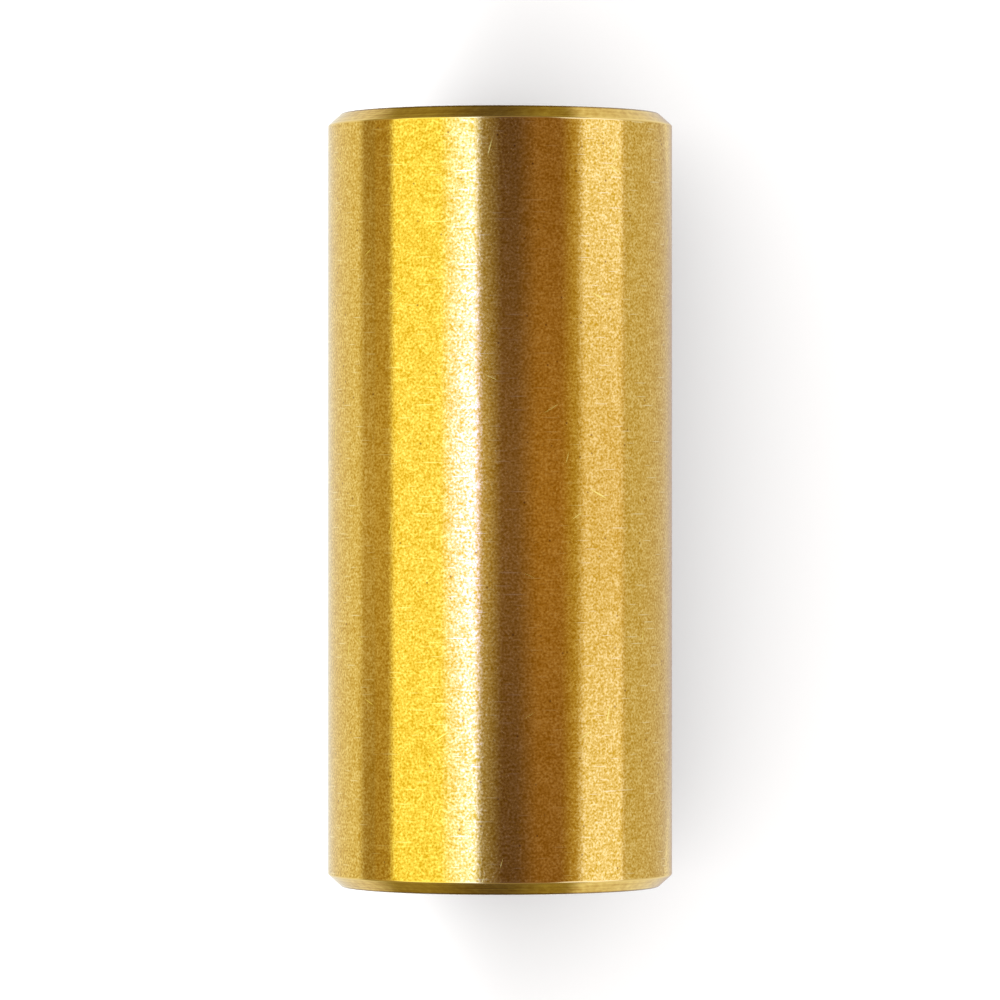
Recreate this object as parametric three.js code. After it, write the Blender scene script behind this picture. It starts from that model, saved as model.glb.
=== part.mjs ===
// A guitar slide: a plain sleeve that a player wears on one finger and glides along the strings.
// It is one length of brass, turned to size, bored right through for the finger and faced square at both
// ends. Each end has a wide conical chamfer outside, which keeps the rim from catching on the strings, and
// a small one inside, which keeps the bore's edge off the finger. Nothing is fitted to it or inside it.
//
// Frame: the slide lies on its side on the surface z = 0, with its bore along Y. The origin is on that
// surface, below the middle of the slide. The two ends are alike.

import * as THREE from "three";

// Driving dimensions, in millimetres.
const OUTER_DIAMETER = 25.4; // one-inch brass stock
const WALL = 3.175; // an eighth of an inch
const LENGTH = 57.0;
const RIM_CHAMFER_DEPTH = 1.0; // how far the outside chamfer comes in across the end face
const RIM_CHAMFER_LENGTH = 0.9; // how far it runs along the outside
const BORE_CHAMFER = 0.5; // the inside chamfer, at 45 degrees
const FACETS = 96; // flats round the sleeve

const outerRadius = OUTER_DIAMETER / 2;
const boreRadius = outerRadius - WALL;
const halfLength = LENGTH / 2;
const facetAngle = (2 * Math.PI) / FACETS;
const axisHeight = outerRadius * Math.cos(facetAngle / 2); // it rests on a flat, not on a corner

// The wall's section on one side of the axis, as radius and place along the axis, from the outside of one
// end to the bore of the same end and back to where it began.
function wallSection() {
  const oneEnd = [
    [outerRadius, halfLength - RIM_CHAMFER_LENGTH],
    [outerRadius - RIM_CHAMFER_DEPTH, halfLength],
    [boreRadius + BORE_CHAMFER, halfLength],
    [boreRadius, halfLength - BORE_CHAMFER],
  ];
  const otherEnd = oneEnd.map(([radius, along]) => [radius, -along]).reverse();
  const corners = [...oneEnd, ...otherEnd, oneEnd[0]];
  return corners.map(([radius, along]) => new THREE.Vector2(radius, along));
}

// The sleeve itself, turned about Y. It starts half a flat round, so that a flat is underneath.
function slideTube() {
  const geometry = new THREE.LatheGeometry(wallSection(), FACETS, facetAngle / 2);
  const brass = new THREE.MeshStandardMaterial({ color: 0xd9b25a, roughness: 0.3, metalness: 1 });
  const tube = new THREE.Mesh(geometry, brass);
  tube.name = "slide_tube";
  tube.position.z = axisHeight;
  return tube;
}

const guitarSlide = new THREE.Group();
guitarSlide.add(slideTube());

export default guitarSlide;
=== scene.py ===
from math import cos, pi, radians, sin

import bpy
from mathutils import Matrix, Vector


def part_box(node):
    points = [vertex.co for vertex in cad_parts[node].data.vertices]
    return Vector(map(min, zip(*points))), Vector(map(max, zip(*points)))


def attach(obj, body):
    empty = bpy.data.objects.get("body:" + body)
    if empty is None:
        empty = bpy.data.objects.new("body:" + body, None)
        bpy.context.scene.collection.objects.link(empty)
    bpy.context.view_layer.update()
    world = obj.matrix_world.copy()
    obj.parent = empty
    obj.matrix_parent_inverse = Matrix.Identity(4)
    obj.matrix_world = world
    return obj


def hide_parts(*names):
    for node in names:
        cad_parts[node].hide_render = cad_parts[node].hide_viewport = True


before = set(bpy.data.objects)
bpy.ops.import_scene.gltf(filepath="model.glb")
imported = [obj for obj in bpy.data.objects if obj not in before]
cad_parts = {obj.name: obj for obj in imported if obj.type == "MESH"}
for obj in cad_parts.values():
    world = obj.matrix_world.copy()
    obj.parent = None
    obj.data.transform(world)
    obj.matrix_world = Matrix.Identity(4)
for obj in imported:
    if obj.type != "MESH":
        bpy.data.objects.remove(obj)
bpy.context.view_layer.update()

MM = 0.001

# ------------------------------------------------------------------------------------------------
# The sleeve
# One length of brass bar, bored through for the finger, faced square and chamfered on a lathe, then
# tumbled, which leaves a fine even grain outside. Nothing holds it: it lies on its side.
# ------------------------------------------------------------------------------------------------
lowest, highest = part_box("slide_tube")
OUTER_RADIUS = (highest.z - lowest.z) / 2
HALF_LENGTH = (highest.y - lowest.y) / 2
AXIS_HEIGHT = (highest.z + lowest.z) / 2
BORE_RADIUS = OUTER_RADIUS - 3.175 * MM  # the wall is an eighth of an inch
RIM_CHAMFER_DEPTH = 1.0 * MM
RIM_CHAMFER_LENGTH = 0.9 * MM
BORE_CHAMFER = 0.5 * MM
BROKEN_EDGE = 0.15 * MM  # the radius that tumbling leaves on every corner
CORNER_BAND_WIDTH = 0.13 * MM  # the width of the darker band along the corner of each end face


def add(tree, kind, inputs=None, **settings):
    """Adds a node. An input is given by name or place, as a value or as the socket that feeds it."""
    node = tree.nodes.new(kind)
    for name, value in settings.items():
        setattr(node, name, value)
    for name, value in (inputs or {}).items():
        if isinstance(value, bpy.types.NodeSocket):
            tree.links.new(value, node.inputs[name])
        else:
            node.inputs[name].default_value = value
    return node


def maths(tree, operation, first, second=0.0):
    """One step of arithmetic in a tree. Gives the socket that holds the answer."""
    return add(tree, "ShaderNodeMath", {0: first, 1: second}, operation=operation).outputs[0]


def brass_alloy(name):
    """Bare brass for a finish to be put on: the material, its tree, its shader and Object coordinates."""
    metal = bpy.data.materials.new(name)
    metal.use_nodes = True
    tree = metal.node_tree
    shader = tree.nodes["Principled BSDF"]
    shader.inputs["Metallic"].default_value = 1.0
    place = tree.nodes.new("ShaderNodeTexCoord").outputs["Object"]
    return metal, tree, shader, place


def noise(tree, place, scale, detail=2.0):
    """Fractal noise whose patches are about 1/scale across."""
    inputs = {"Vector": place, "Scale": scale, "Detail": detail}
    return add(tree, "ShaderNodeTexNoise", inputs).outputs["Fac"]


def spread(tree, value, low, high, to_low=0.0, to_high=1.0):
    """Stretches low..high to to_low..to_high and stops at both ends."""
    limits = {"From Min": low, "From Max": high, "To Min": to_low, "To Max": to_high}
    return add(tree, "ShaderNodeMapRange", {"Value": value, **limits}).outputs["Result"]


def colours(tree, share, first, second, blend_type="MIX"):
    """Mixes two colours, the second by its share."""
    inputs = {0: share, 6: first, 7: second}
    return add(tree, "ShaderNodeMix", inputs, data_type="RGBA", blend_type=blend_type).outputs[2]


def streaks(tree, place, half_length, half_width, area_each, turn=0.0):
    """Short straight marks on a flat map of the wall, one in each area_each: 1 in a mark, 0 outside it."""
    thinness = half_length / half_width
    along = (thinness * area_each) ** -0.5
    cell = {"Vector": place, "Rotation": (0.0, 0.0, turn), "Scale": (1 / along, 1 / (along * thinness), 1.0)}
    laid_out = add(tree, "ShaderNodeMapping", cell, vector_type="TEXTURE").outputs[0]
    cells = add(tree, "ShaderNodeTexVoronoi", {"Vector": laid_out, "Scale": 1.0}, voronoi_dimensions="2D")
    uneven = spread(tree, cells.outputs["Color"], 0.0, 1.0, 0.7, 2.2)
    distance = maths(tree, "MULTIPLY", cells.outputs["Distance"], uneven)
    reach = half_length * along
    return spread(tree, distance, reach * 0.4, reach, 1.0, 0.0)


def tumbled_brass():
    """The outside wall: close pale and dark grain, faint turning marks, pits and short scratches."""
    metal, tree, shader, place = brass_alloy("tumbled_brass")
    part = add(tree, "ShaderNodeSeparateXYZ", {"Vector": place}).outputs
    turn = maths(tree, "ARCTAN2", part["X"], maths(tree, "SUBTRACT", part["Z"], AXIS_HEIGHT))
    unrolled = {"X": maths(tree, "MULTIPLY", turn, OUTER_RADIUS), "Y": part["Y"]}
    unrolled = add(tree, "ShaderNodeCombineXYZ", unrolled).outputs[0]

    GRAIN_SCALE = 5800.0
    MOTTLE_SCALE = 1100.0
    TARNISH = (0.575, 0.305, 0.010, 1.0)
    BRIGHT = (0.925, 0.635, 0.15, 1.0)
    FLECK = (0.96, 0.72, 0.27, 1.0)
    fine = noise(tree, place, GRAIN_SCALE, 1.5)
    coarse = noise(tree, place, MOTTLE_SCALE, 1.0)
    round_the_wall = {"Vector": unrolled, "Scale": (620.0, 5600.0, 1.0)}
    drawn_out = add(tree, "ShaderNodeMapping", round_the_wall).outputs[0]
    turned = noise(tree, drawn_out, 1.0, 1.0)
    grain = maths(tree, "ADD", maths(tree, "MULTIPLY", fine, 0.80), maths(tree, "MULTIPLY", coarse, 0.15))
    grain = maths(tree, "ADD", grain, maths(tree, "MULTIPLY", turned, 0.14))
    grain = spread(tree, grain, 0.39, 0.70)
    colour = colours(tree, grain, TARNISH, BRIGHT)
    flecks = spread(tree, grain, 0.70, 1.0, 0.0, 0.5)
    colour = colours(tree, flecks, colour, FLECK)

    TOOL_MARK = (0.97, 0.77, 0.34, 1.0)
    SCRATCH = (0.95, 0.74, 0.15, 1.0)
    SCRATCH_ANGLES = (-25.0, 32.0, 75.0)
    tool_marks = streaks(tree, unrolled, 0.9 * MM, 0.05 * MM, 5.0 * MM * MM)
    colour = colours(tree, maths(tree, "MULTIPLY", tool_marks, 0.8), colour, TOOL_MARK)
    scratched = 0.0
    for angle in SCRATCH_ANGLES:
        group = streaks(tree, unrolled, 1.0 * MM, 0.07 * MM, 140.0 * MM * MM, radians(angle))
        scratched = maths(tree, "MAXIMUM", group, scratched)
    colour = colours(tree, scratched, colour, SCRATCH)

    PIT_SCALE = 840.0
    PIT = (0.26, 0.11, 0.02, 1.0)
    pit_cells = add(tree, "ShaderNodeTexVoronoi", {"Vector": place, "Scale": PIT_SCALE})
    pit = spread(tree, pit_cells.outputs["Distance"], 0.04, 0.09, 1.0, 0.0)
    colour = colours(tree, maths(tree, "MULTIPLY", pit, 0.8), colour, PIT)
    tree.links.new(colour, shader.inputs["Base Color"])

    rough = spread(tree, noise(tree, place, 6100.0, 1.0), 0.5, 0.72, 0.09, 0.18)
    rough = maths(tree, "MAXIMUM", rough, maths(tree, "MULTIPLY", scratched, 0.36))
    tree.links.new(rough, shader.inputs["Roughness"])
    GRAIN_DEPTH = 0.003 * MM
    bump = add(tree, "ShaderNodeBump", {"Height": fine, "Distance": GRAIN_DEPTH, "Strength": 0.7})
    tree.links.new(bump.outputs[0], shader.inputs["Normal"])
    return metal


def turned_brass():
    """The chamfers and the end faces: rings left by the lathe tool, mottled where it chattered."""
    metal, tree, shader, place = brass_alloy("turned_brass")
    part = add(tree, "ShaderNodeSeparateXYZ", {"Vector": place}).outputs
    above_axis = maths(tree, "SUBTRACT", part["Z"], AXIS_HEIGHT)
    across = maths(tree, "ADD", maths(tree, "POWER", part["X"], 2.0), maths(tree, "POWER", above_axis, 2.0))
    from_axis = maths(tree, "SQRT", across)
    RING_SCALE = 9000.0
    ring_place = {
        "X": maths(tree, "MULTIPLY", from_axis, RING_SCALE),
        "Y": maths(tree, "MULTIPLY", part["Y"], RING_SCALE),
        "Z": maths(tree, "MULTIPLY", part["X"], 150.0),
    }
    rings = noise(tree, add(tree, "ShaderNodeCombineXYZ", ring_place).outputs[0], 1.0, 1.0)
    turn = maths(tree, "ARCTAN2", part["X"], above_axis)
    arc = maths(tree, "MULTIPLY", turn, OUTER_RADIUS)
    slanted = maths(tree, "ADD", arc, maths(tree, "MULTIPLY", from_axis, 0.7))
    chatter_place = {
        "X": maths(tree, "MULTIPLY", slanted, 1700.0),
        "Y": maths(tree, "MULTIPLY", from_axis, 3100.0),
    }
    chatter = noise(tree, add(tree, "ShaderNodeCombineXYZ", chatter_place).outputs[0], 1.0, 2.0)
    share = maths(tree, "ADD", maths(tree, "MULTIPLY", rings, 0.5), maths(tree, "MULTIPLY", chatter, 0.5))
    share = spread(tree, share, 0.33, 0.67)
    GROOVE = (0.54, 0.29, 0.03, 1.0)
    RIDGE = (0.90, 0.63, 0.17, 1.0)
    colour = colours(tree, share, GROOVE, RIDGE)

    # The corner between each chamfer and its end face is darker.
    DARK_CORNER = (0.14, 0.06, 0.015, 1.0)
    BURNISHED = (0.86, 0.60, 0.18, 1.0)
    along = maths(tree, "ABSOLUTE", part["Y"])
    corner_start = OUTER_RADIUS - RIM_CHAMFER_DEPTH - CORNER_BAND_WIDTH
    near_corner = spread(tree, from_axis, corner_start, corner_start + CORNER_BAND_WIDTH / 2)
    near_face = spread(tree, along, HALF_LENGTH - CORNER_BAND_WIDTH, HALF_LENGTH - CORNER_BAND_WIDTH / 2)
    dark_corner = maths(tree, "MULTIPLY", near_corner, near_face)
    colour = colours(tree, maths(tree, "MULTIPLY", dark_corner, 0.8), colour, DARK_CORNER)
    wall_edge = HALF_LENGTH - RIM_CHAMFER_LENGTH + BROKEN_EDGE / 2
    burnished = spread(tree, along, wall_edge, wall_edge + BROKEN_EDGE / 3, 1.0, 0.0)
    colour = colours(tree, burnished, colour, BURNISHED)
    tree.links.new(colour, shader.inputs["Base Color"])

    RING_DEPTH = 0.003 * MM
    bump = add(tree, "ShaderNodeBump", {"Height": share, "Distance": RING_DEPTH, "Strength": 0.5})
    tree.links.new(bump.outputs[0], shader.inputs["Normal"])
    faced = maths(tree, "SUBTRACT", near_face, near_corner)
    CHAMFER_ROUGHNESS = 0.11
    FACE_ROUGHNESS = 0.34
    rough = spread(tree, faced, 0.0, 1.0, CHAMFER_ROUGHNESS, FACE_ROUGHNESS)
    tree.links.new(rough, shader.inputs["Roughness"])
    shader.inputs["Anisotropic"].default_value = 0.45
    shader.inputs["Anisotropic Rotation"].default_value = 0.25
    tangent = add(tree, "ShaderNodeTangent", direction_type="RADIAL", axis="Y")
    tree.links.new(tangent.outputs[0], shader.inputs["Tangent"])
    return metal


def bored_brass():
    """The bore: a duller surface with drill marks round it."""
    metal, tree, shader, place = brass_alloy("bored_brass")
    stretched = add(tree, "ShaderNodeMapping", {"Vector": place, "Scale": (120.0, 3000.0, 120.0)})
    feed = noise(tree, stretched.outputs[0], 1.0, 2.0)
    share = spread(tree, feed, 0.3, 0.7)
    DRILLED_DARK = (0.55, 0.31, 0.05, 1.0)
    DRILLED_PALE = (0.78, 0.5, 0.11, 1.0)
    colour = colours(tree, share, DRILLED_DARK, DRILLED_PALE)
    tree.links.new(colour, shader.inputs["Base Color"])
    DRILL_DEPTH = 0.01 * MM
    bump = add(tree, "ShaderNodeBump", {"Height": feed, "Distance": DRILL_DEPTH, "Strength": 0.6})
    tree.links.new(bump.outputs[0], shader.inputs["Normal"])
    shader.inputs["Roughness"].default_value = 0.32
    return metal


# The turning is a tree: it sweeps the wall's section round a circle of the bore's radius.
turning = bpy.data.node_groups.new("sleeve_turning", "GeometryNodeTree")
FACETS = 384  # enough for the outline to look round from close by
turning_sizes = {
    "Outer Radius": OUTER_RADIUS,
    "Bore Radius": BORE_RADIUS,
    "Half Length": HALF_LENGTH,
    "Chamfer Depth": RIM_CHAMFER_DEPTH,
    "Chamfer Length": RIM_CHAMFER_LENGTH,
    "Bore Chamfer": BORE_CHAMFER,
    "Broken Edge": BROKEN_EDGE,
    "Axis Height": AXIS_HEIGHT,
    "Facets": FACETS,
}
for name, size in turning_sizes.items():
    kind = "NodeSocketInt" if isinstance(size, int) else "NodeSocketFloat"
    turning.interface.new_socket(name, in_out="INPUT", socket_type=kind)
turning.interface.new_socket("Sleeve", in_out="OUTPUT", socket_type="NodeSocketGeometry")
given = turning.nodes.new("NodeGroupInput").outputs

# The section has four corners at each end, numbered from the outside of one end to its bore and back.
LAST_CORNER = 7.0
index = turning.nodes.new("GeometryNodeInputIndex").outputs[0]
corner = maths(turning, "MINIMUM", index, maths(turning, "SUBTRACT", LAST_CORNER, index))
which_end = maths(turning, "SIGN", maths(turning, "SUBTRACT", LAST_CORNER / 2, index))
face_outside = maths(turning, "SUBTRACT", given["Outer Radius"], given["Chamfer Depth"])
face_inside = maths(turning, "ADD", given["Bore Radius"], given["Bore Chamfer"])
wall_end = maths(turning, "SUBTRACT", given["Half Length"], given["Chamfer Length"])
bore_end = maths(turning, "SUBTRACT", given["Half Length"], given["Bore Chamfer"])


def by_corner(*values):
    """The value for each of an end's four corners, from the outside to the bore."""
    switch = add(turning, "GeometryNodeIndexSwitch", data_type="FLOAT")
    while len(switch.index_switch_items) < len(values):
        switch.index_switch_items.new()
    turning.links.new(corner, switch.inputs["Index"])
    for number, value in enumerate(values):
        turning.links.new(value, switch.inputs[str(number)])
    return switch.outputs[0]


radius = by_corner(given["Outer Radius"], face_outside, face_inside, given["Bore Radius"])
along = by_corner(wall_end, given["Half Length"], given["Half Length"], bore_end)
wall_place = {"X": maths(turning, "SUBTRACT", radius, given["Bore Radius"])}
wall_place["Y"] = maths(turning, "MULTIPLY", along, which_end)
wall_place = add(turning, "ShaderNodeCombineXYZ", wall_place).outputs[0]
corners = add(turning, "GeometryNodeCurvePrimitiveCircle", {"Resolution": 8}).outputs[0]
section = add(turning, "GeometryNodeSetPosition", {"Geometry": corners, "Position": wall_place}).outputs[0]
rounding = {"Curve": section, "Radius": given["Broken Edge"], "Count": 4}
section = add(turning, "GeometryNodeFilletCurve", rounding, mode="POLY").outputs[0]

circle = {"Resolution": given["Facets"], "Radius": given["Bore Radius"]}
circle = add(turning, "GeometryNodeCurvePrimitiveCircle", circle).outputs[0]
circle = add(turning, "GeometryNodeSetCurveNormal", {"Curve": circle}, mode="Z_UP").outputs[0]
sweep = {"Curve": circle, "Profile Curve": section}
sleeve = add(turning, "GeometryNodeCurveToMesh", sweep).outputs[0]
lift = add(turning, "ShaderNodeCombineXYZ", {"Z": given["Axis Height"]}).outputs[0]
lay_down = {"Geometry": sleeve, "Translation": lift, "Rotation": (pi / 2, 0.0, 0.0)}
sleeve = add(turning, "GeometryNodeTransform", lay_down).outputs[0]

# The rounding of a corner meets its flats at half the angle between its own facets. Those edges stay crisp.
CRISP_FROM = radians(3.0)
CRISP_TO = radians(8.0)
edge_angle = turning.nodes.new("GeometryNodeInputMeshEdgeAngle").outputs["Unsigned Angle"]
steep = maths(turning, "GREATER_THAN", edge_angle, CRISP_FROM)
crisp = maths(turning, "MULTIPLY", steep, maths(turning, "LESS_THAN", edge_angle, CRISP_TO))
smooth_faces = {"Geometry": sleeve, "Shade Smooth": True}
sleeve = add(turning, "GeometryNodeSetShadeSmooth", smooth_faces, domain="FACE").outputs[0]
crisp_edges = {"Geometry": sleeve, "Selection": crisp, "Shade Smooth": False}
sleeve = add(turning, "GeometryNodeSetShadeSmooth", crisp_edges, domain="EDGE").outputs[0]

# Each finish goes on by where the faces are: the wall first, then the rims, then the bore.
position = turning.nodes.new("GeometryNodeInputPosition").outputs[0]
face_place = add(turning, "ShaderNodeSeparateXYZ", {"Vector": position})
face_height = maths(turning, "SUBTRACT", face_place.outputs["Z"], given["Axis Height"])
squares = maths(turning, "POWER", face_place.outputs["X"], 2.0)
squares = maths(turning, "ADD", squares, maths(turning, "POWER", face_height, 2.0))
face_radius = maths(turning, "SQRT", squares)
face_along = maths(turning, "ABSOLUTE", face_place.outputs["Y"])
rim_start = maths(turning, "SUBTRACT", wall_end, BROKEN_EDGE / 2)
in_rim = maths(turning, "GREATER_THAN", face_along, rim_start)
bore_edge = maths(turning, "ADD", given["Bore Radius"], BROKEN_EDGE / 2)
in_bore = maths(turning, "LESS_THAN", face_radius, bore_edge)
sleeve = add(turning, "GeometryNodeRealizeInstances", {"Geometry": sleeve}).outputs[0]
for finish, faces in ((tumbled_brass(), True), (turned_brass(), in_rim), (bored_brass(), in_bore)):
    paint = {"Geometry": sleeve, "Selection": faces, "Material": finish}
    sleeve = add(turning, "GeometryNodeSetMaterial", paint).outputs[0]
turning.links.new(sleeve, turning.nodes.new("NodeGroupOutput").inputs[0])

blank = bpy.data.objects.new("blank", bpy.data.meshes.new("blank"))
bpy.context.scene.collection.objects.link(blank)
lathe = blank.modifiers.new("lathe", "NODES")
lathe.node_group = turning
for item in turning.interface.items_tree:
    if item.in_out == "INPUT":
        lathe[item.identifier] = turning_sizes[item.name]
shaped = blank.evaluated_get(bpy.context.evaluated_depsgraph_get())
slide = bpy.data.objects.new("brass_slide", bpy.data.meshes.new_from_object(shaped))
bpy.context.scene.collection.objects.link(slide)
bpy.data.objects.remove(blank)
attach(slide, "root")
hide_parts("slide_tube")

# ------------------------------------------------------------------------------------------------
# The floor
# A plain pale sheet that the slide lies on, wide enough to fill the view from every side. In the metal it
# shows a painted reflection instead.
# ------------------------------------------------------------------------------------------------
FLOOR_HALF = 6.0
floor_mesh = bpy.data.meshes.new("floor")
floor_corners = [(x * FLOOR_HALF, y * FLOOR_HALF, 0.0) for x, y in ((-1, -1), (1, -1), (1, 1), (-1, 1))]
floor_mesh.from_pydata(floor_corners, [], [(0, 1, 2, 3)])
floor = bpy.data.objects.new("floor", floor_mesh)
bpy.context.scene.collection.objects.link(floor)
paper = bpy.data.materials.new("pale_paper_with_painted_reflection")
paper.use_nodes = True
paper.cycles.emission_sampling = "NONE"
paper_tree = paper.node_tree
paper_shader = paper_tree.nodes["Principled BSDF"]
paper_shader.inputs["Base Color"].default_value = (0.9, 0.9, 0.9, 1.0)
paper_shader.inputs["Roughness"].default_value = 1.0
paper_shader.inputs["Specular IOR Level"].default_value = 0.0

# Painted reflection: the metal doesn't see the sheet's own lighting but these colours, emitted: painted
# shade on the slide's right, bright past that and on its left, painted darker further past its ends, and a
# dark room beyond.
SHEET_SHADED = (0.75, 0.75, 0.80, 1.0)
SHEET_NEAR = (0.93, 0.96, 0.93, 1.0)
SHEET_FAR = (0.36, 0.32, 0.12, 1.0)
ROOM = (0.10, 0.08, 0.08, 1.0)
SHEET_SHADE_EDGE = 2.0 * MM
NEAR_ENDS = 0.048
FAR_STARTS = 0.064
FAR_ENDS = 0.10
ROOM_STARTS = 0.20
SHEET_LEFT = -0.082  # past this edge the metal sees a painted wooden table
SHEET_LEFT_BLUR = 0.016
TABLE_MIDDLE_REACH = 0.035
TABLE_LIT_MIDDLE = (0.66, 0.59, 0.40, 1.0)
TABLE_SHADED_ENDS = (0.45, 0.38, 0.22, 1.0)
paper_place = add(paper_tree, "ShaderNodeTexCoord").outputs["Object"]
paper_part = add(paper_tree, "ShaderNodeSeparateXYZ", {"Vector": paper_place}).outputs
along = maths(paper_tree, "ABSOLUTE", paper_part["Y"])
# The painted light reaches further past the ends the further right it is, and only a little less on the
# left.
REACH_RIGHT = 1.2
REACH_LEFT = 0.1
on_right = maths(paper_tree, "MULTIPLY", paper_part["X"], REACH_RIGHT)
on_left = maths(paper_tree, "MULTIPLY", paper_part["X"], REACH_LEFT)
past_slide = maths(paper_tree, "SUBTRACT", along, maths(paper_tree, "MAXIMUM", on_right, on_left))
sheet = colours(paper_tree, spread(paper_tree, past_slide, -SHEET_SHADE_EDGE, 0.0), SHEET_SHADED, SHEET_NEAR)
sheet = colours(paper_tree, spread(paper_tree, past_slide, NEAR_ENDS, FAR_STARTS), sheet, SHEET_FAR)
sheet = colours(paper_tree, spread(paper_tree, past_slide, FAR_ENDS, ROOM_STARTS), sheet, ROOM)
# Painted light falloff: the table is painted lighter over the slide's middle than towards its ends.
painted_table = colours(paper_tree, spread(paper_tree, along, 0.0, TABLE_MIDDLE_REACH), TABLE_LIT_MIDDLE, TABLE_SHADED_ENDS)
on_sheet = spread(paper_tree, paper_part["X"], SHEET_LEFT - SHEET_LEFT_BLUR, SHEET_LEFT + SHEET_LEFT_BLUR)
painted_reflection = colours(paper_tree, on_sheet, painted_table, sheet)
# Painted shade, seen only in the metal: under the slide the sheet is darkened, and the shade reaches out on
# the right.
CONTACT_SHADE = (0.52, 0.42, 0.38, 1.0)
SHADE_REACH = 9.0 * MM
SHADE_REACH_LEFT = 1.5 * MM
shade = spread(paper_tree, paper_part["X"], OUTER_RADIUS, OUTER_RADIUS + SHADE_REACH, 1.0, 0.0)
shade_left = spread(paper_tree, paper_part["X"], -OUTER_RADIUS - SHADE_REACH_LEFT, -OUTER_RADIUS / 2)
shade_ends = spread(paper_tree, along, HALF_LENGTH, HALF_LENGTH + SHADE_REACH, 1.0, 0.0)
shade = maths(paper_tree, "MULTIPLY", shade, maths(paper_tree, "MULTIPLY", shade_left, shade_ends))
painted_reflection = colours(paper_tree, shade, painted_reflection, CONTACT_SHADE)
# The metal's rays get these painted colours as light; every other ray gets the plain pale sheet.
painted_reflection = add(paper_tree, "ShaderNodeEmission", {"Color": painted_reflection, "Strength": 1.0}).outputs[0]
in_metal = add(paper_tree, "ShaderNodeLightPath").outputs["Is Glossy Ray"]
seen = {0: in_metal, 1: paper_shader.outputs[0], 2: painted_reflection}
seen = add(paper_tree, "ShaderNodeMixShader", seen).outputs[0]
paper_tree.links.new(seen, paper_tree.nodes["Material Output"].inputs["Surface"])
floor_mesh.materials.append(paper)

# ------------------------------------------------------------------------------------------------
# The studio lights
# An even sky, a weak lamp low on the right and a panel overhead on the left light the floor. The metal
# sees a light tent instead: a half cylinder over the slide with soft boxes, cards and dark gaps round it.
# ------------------------------------------------------------------------------------------------
FILL_ELEVATION = radians(35.0)
fill = bpy.data.lights.new("fill", "SUN")
fill.energy = 0.8
fill.angle = radians(30.0)
fill_object = bpy.data.objects.new("fill", fill)
fill_object.rotation_euler = (0.0, pi / 2 - FILL_ELEVATION, 0.0)
fill_object.visible_glossy = False
bpy.context.scene.collection.objects.link(fill_object)

PANEL_SIZE = 1.2
PANEL_EDGE = -0.008
PANEL_HEIGHT = 0.15
panel = bpy.data.lights.new("panel", "AREA")
panel.energy = 3.6
panel.size = PANEL_SIZE
panel.spread = radians(9.0)
panel_object = bpy.data.objects.new("panel", panel)
panel_object.location = (PANEL_EDGE - PANEL_SIZE / 2, 0.0, PANEL_HEIGHT)
panel_object.visible_camera = False
panel_object.visible_glossy = False
bpy.context.scene.collection.objects.link(panel_object)

sky = bpy.data.worlds.new("sky")
bpy.context.scene.world = sky
sky.use_nodes = True
sky.node_tree.nodes["Background"].inputs["Color"].default_value = (1.0, 0.98, 0.97, 1.0)
sky.node_tree.nodes["Background"].inputs["Strength"].default_value = 1.21
sky.cycles_visibility.glossy = False

TENT_RADIUS = 0.6
TENT_HALF_LENGTH = 0.8
TENT_HALF_ANGLE = 96.0  # in degrees from straight up
TENT_STEPS = 96
# What stands round the tent, from the left to the right. Each has the angle from straight up where it
# starts, how soft that edge is, and its light over the slide's middle and over its ends.
LEFT_WALL = ((0.65, 0.56, 0.30), (0.50, 0.40, 0.17))
AROUND_THE_SLIDE = {
    "window": (-76.0, 2.5, (1.36, 1.46, 0.90), (1.36, 1.46, 0.70)),
    "strip_light": (-29.0, 10.0, (2.0, 2.4, 12.0), (1.6, 2.1, 5.0)),
    "spill": (-14.5, 2.5, (0.75, 0.70, 0.65), (0.35, 0.32, 0.32)),
    "dark_gap": (-5.0, 6.0, (0.28, 0.19, 0.20), (0.15, 0.10, 0.13)),
    "brown_card": (18.0, 7.0, (0.48, 0.31, 0.15), (0.31, 0.19, 0.12)),
    "card_edge": (46.0, 5.0, (0.56, 0.46, 0.18), (0.58, 0.47, 0.22)),
    "white_card": (55.0, 3.0, (0.93, 0.88, 1.00), (1.25, 1.38, 2.30)),
    "right_table": (89.0, 2.0, (0.72, 0.66, 0.60), (0.72, 0.66, 0.60)),
}
tent_mesh = bpy.data.meshes.new("light_tent")
tent_points = []
for step in range(TENT_STEPS + 1):
    angle = radians(TENT_HALF_ANGLE) * (2 * step / TENT_STEPS - 1)
    for y in (-TENT_HALF_LENGTH, TENT_HALF_LENGTH):
        tent_points.append((TENT_RADIUS * sin(angle), y, AXIS_HEIGHT + TENT_RADIUS * cos(angle)))
tent_faces = [(2 * s, 2 * s + 1, 2 * s + 3, 2 * s + 2) for s in range(TENT_STEPS)]
tent_faces += [tuple(range(0, len(tent_points), 2)), tuple(range(1, len(tent_points), 2))]
tent_mesh.from_pydata(tent_points, [], tent_faces)
tent = bpy.data.objects.new("light_tent", tent_mesh)
bpy.context.scene.collection.objects.link(tent)

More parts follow.
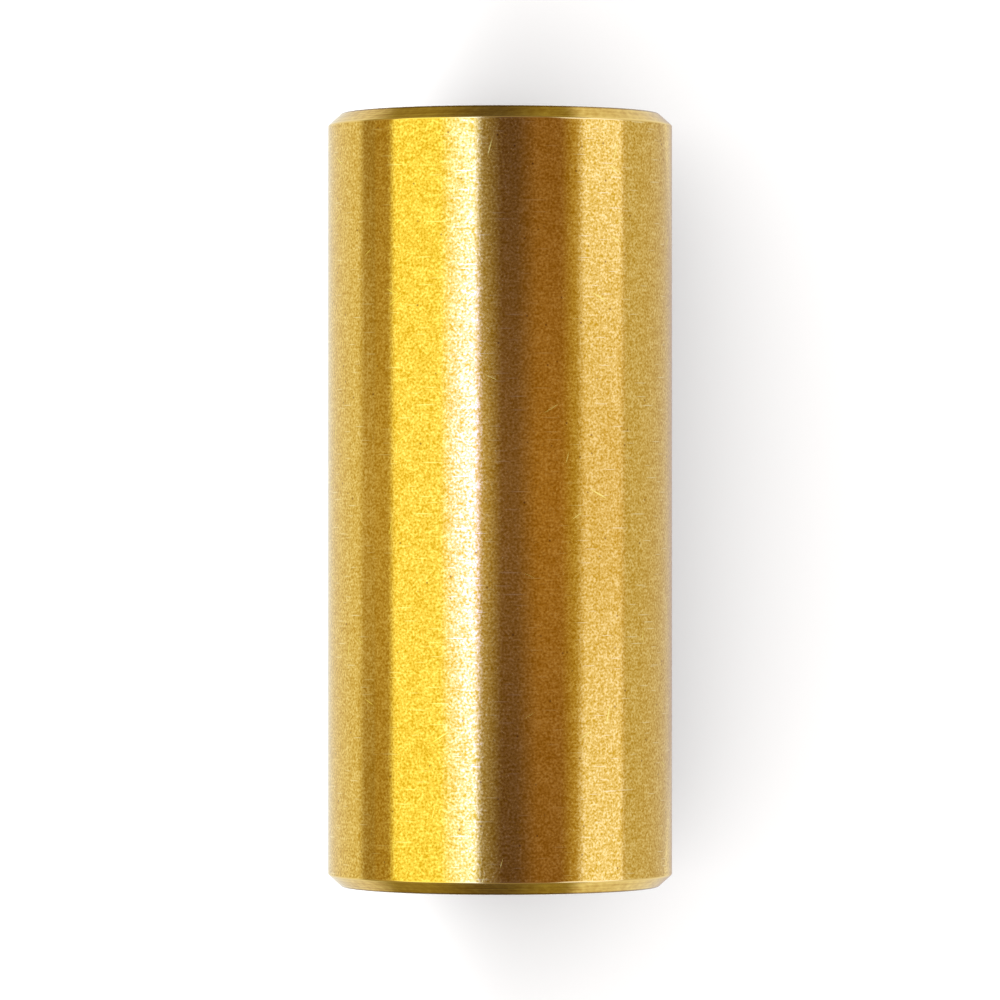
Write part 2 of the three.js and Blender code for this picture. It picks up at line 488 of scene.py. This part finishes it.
glow = bpy.data.materials.new("tent_light")
glow.use_nodes = True
glow.cycles.emission_sampling = "NONE"
glow_tree = glow.node_tree
glow_tree.nodes.clear()
glow_place = add(glow_tree, "ShaderNodeTexCoord").outputs["Object"]
glow_part = add(glow_tree, "ShaderNodeSeparateXYZ", {"Vector": glow_place}).outputs
glow_height = maths(glow_tree, "SUBTRACT", glow_part["Z"], AXIS_HEIGHT)
glow_angle = maths(glow_tree, "ARCTAN2", glow_part["X"], glow_height)
over_middle, over_ends = ((*light, 1.0) for light in LEFT_WALL)
for start, softness, middle, ends in AROUND_THE_SLIDE.values():
    begun = spread(glow_tree, glow_angle, radians(start - softness), radians(start + softness))
    over_middle = colours(glow_tree, begun, over_middle, (*middle, 1.0))
    over_ends = colours(glow_tree, begun, over_ends, (*ends, 1.0))
glow_along = maths(glow_tree, "ABSOLUTE", glow_part["Y"])
END_OF_LIGHT = 0.062
MIDDLE_FALLOFF = 1.3
from_end = spread(glow_tree, glow_along, 0.0, END_OF_LIGHT, 1.0, 0.0)
near_middle = maths(glow_tree, "POWER", from_end, MIDDLE_FALLOFF)
glow_colour = colours(glow_tree, near_middle, over_ends, over_middle)
# White cards stand at both ends of the right side.
CARD_TOP = radians(40.0)
CARD_TOP_BLUR = radians(10.0)
END_CARD_START = 0.1
END_CARD_BLUR = 0.04
card_side = spread(glow_tree, glow_angle, CARD_TOP, CARD_TOP + CARD_TOP_BLUR)
end_card = spread(glow_tree, glow_along, END_CARD_START, END_CARD_START + END_CARD_BLUR)
end_card = maths(glow_tree, "MULTIPLY", end_card, card_side)
END_CARD_LIGHT = (1.35, 1.5, 2.6, 1.0)
glow_colour = colours(glow_tree, end_card, glow_colour, END_CARD_LIGHT)
emission = add(glow_tree, "ShaderNodeEmission", {"Color": glow_colour, "Strength": 1.0})
add(glow_tree, "ShaderNodeOutputMaterial", {"Surface": emission.outputs[0]})
tent_mesh.materials.append(glow)

# The tent's two end walls are dark near the table.
DARK_BELOW = 0.03
LIT_ABOVE = 0.09
WALL_FOOT = (0.09, 0.07, 0.065, 1.0)
WALL_TOP = (0.34, 0.30, 0.25, 1.0)
backdrop = bpy.data.materials.new("dark_backdrop")
backdrop.use_nodes = True
backdrop.cycles.emission_sampling = "NONE"
backdrop.node_tree.nodes.clear()
backdrop_place = add(backdrop.node_tree, "ShaderNodeTexCoord").outputs["Object"]
backdrop_part = add(backdrop.node_tree, "ShaderNodeSeparateXYZ", {"Vector": backdrop_place}).outputs
above_table = spread(backdrop.node_tree, backdrop_part["Z"], DARK_BELOW, LIT_ABOVE)
dim = colours(backdrop.node_tree, above_table, WALL_FOOT, WALL_TOP)
dim = add(backdrop.node_tree, "ShaderNodeEmission", {"Color": dim, "Strength": 1.0}).outputs[0]
add(backdrop.node_tree, "ShaderNodeOutputMaterial", {"Surface": dim})
tent_mesh.materials.append(backdrop)
for face in tent_mesh.polygons[-2:]:
    face.material_index = 1


def only_in_the_metal(thing):
    """Hides a light from everything but the metal's reflections."""
    thing.visible_camera = False
    thing.visible_diffuse = False
    thing.visible_transmission = False
    thing.visible_volume_scatter = False
    thing.visible_shadow = False


only_in_the_metal(tent)

# ------------------------------------------------------------------------------------------------
# The camera
# It looks straight down on the middle of the slide through a long lens.
# ------------------------------------------------------------------------------------------------
CAMERA_ABOVE_AXIS = 41.0 * OUTER_RADIUS
camera = bpy.data.cameras.new("camera")
camera.sensor_width = 36.0
camera.lens = 253.8
camera_object = bpy.data.objects.new("camera", camera)
camera_object.location = (0.0, 0.0, AXIS_HEIGHT + CAMERA_ABOVE_AXIS)
bpy.context.scene.collection.objects.link(camera_object)
bpy.context.scene.camera = camera_object
bpy.context.scene.view_settings.view_transform = "Standard"
bpy.context.scene.cycles.caustics_reflective = False
